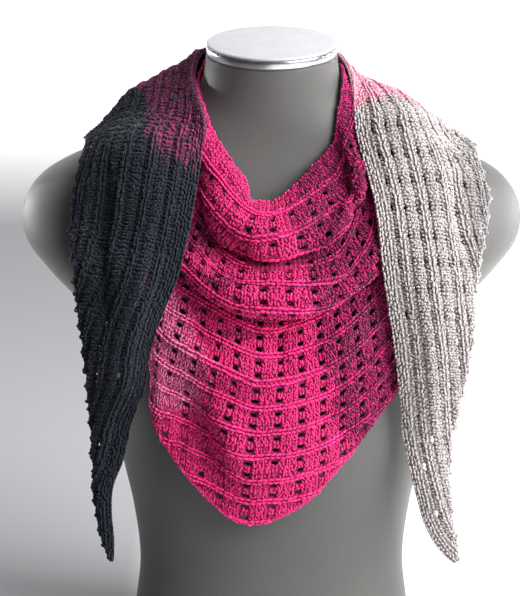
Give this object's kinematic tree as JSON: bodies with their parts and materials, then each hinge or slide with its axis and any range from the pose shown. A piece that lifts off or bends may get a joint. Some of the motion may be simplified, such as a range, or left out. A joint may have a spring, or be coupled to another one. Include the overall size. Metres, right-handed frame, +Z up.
{
  "type": "triangle scarf on bust form",
  "caption": "Triangle scarf in holed rib knit, draped in soft cowl folds with its point in front and its ends crossed behind the neck, worn on a limbless bust form.",
  "frame": {"origin": "centre of the bust form's flat base, on the plane it stands on", "axes": "+Z up, front of the form towards -Y, the wearer's left and viewer's right towards +X"},
  "size_m": [0.496, 0.2844, 0.6236],
  "materials": {
    "form_grey": "fine matte, slightly soft sheen",
    "collar_steel": "polished",
    "cap_white": "satin",
    "yarn_pink": "marled hand-knit wool, hot pink with lighter and black strands at the sides",
    "yarn_pale": "marled hand-knit wool, warm light grey, pink and grey at the neck",
    "yarn_dark": "marled hand-knit wool, near black, black and magenta at the neck"
  },
  "bodies": {
    "root": {"torso": "form_grey", "neck_collar": "collar_steel", "neck_cap": "cap_white", "front_panel": "yarn_pink", "cowl_lower": "yarn_pink", "cowl_upper": "yarn_pink", "tail_pale": "yarn_pale", "tail_dark": "yarn_dark"}
  },
  "joints": []
}
